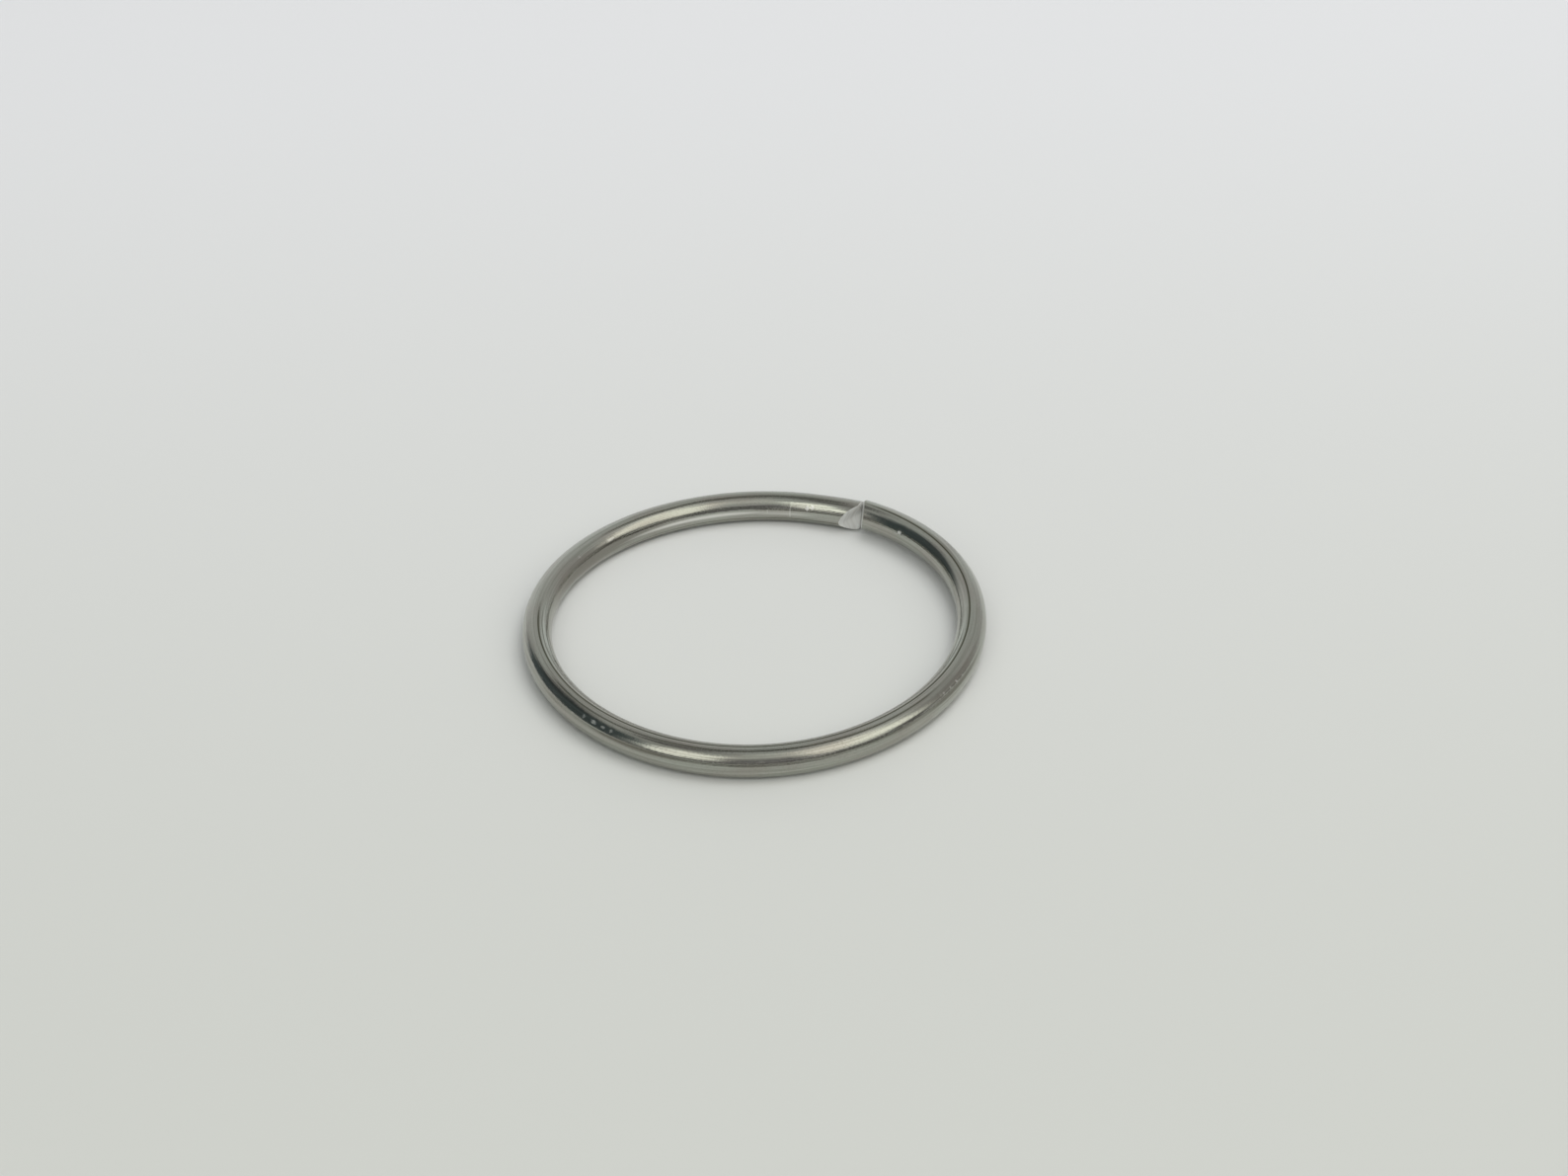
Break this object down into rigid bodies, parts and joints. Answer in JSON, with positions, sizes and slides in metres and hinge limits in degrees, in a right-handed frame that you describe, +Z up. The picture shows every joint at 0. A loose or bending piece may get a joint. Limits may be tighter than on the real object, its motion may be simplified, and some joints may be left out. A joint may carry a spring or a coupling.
{
  "type": "split key ring",
  "caption": "Open key ring of one turn of rounded steel wire whose sheared ends meet nearly edge to edge and spring apart to take a key.",
  "frame": {"origin": "centre of the ring, on the surface that it lies on", "axes": "+Z up, along the ring's axis; +Y from the bow to the meeting ends; +X to the side of the raised end"},
  "size_m": [0.03, 0.03, 0.0025],
  "materials": {
    "plated_wire": "drawn steel wire with a thin, tumbled nickel plating, and bare metal where the ends were sheared"
  },
  "bodies": {
    "left_half": {"left_arm": "plated_wire", "left_end": "plated_wire"},
    "bow": {"bow": "plated_wire"},
    "right_half": {"right_arm": "plated_wire", "right_end": "plated_wire"}
  },
  "joints": [
    {"name": "gap_spread", "type": "hinge", "parent": "left_half", "child": "bow", "pos_m": [0, -0.01402, 0.00105], "axis": [0, 0, -1], "range_deg": [0, 8], "stiffness_Nm_per_rad": 4.6, "deforming": ["bow"]},
    {"name": "gap_lift", "type": "hinge", "parent": "bow", "child": "right_half", "pos_m": [0, -0.01402, 0.00105], "axis": [1, 0, 0], "range_deg": [-9, 9], "stiffness_Nm_per_rad": 3.1, "deforming": ["bow"]}
  ]
}
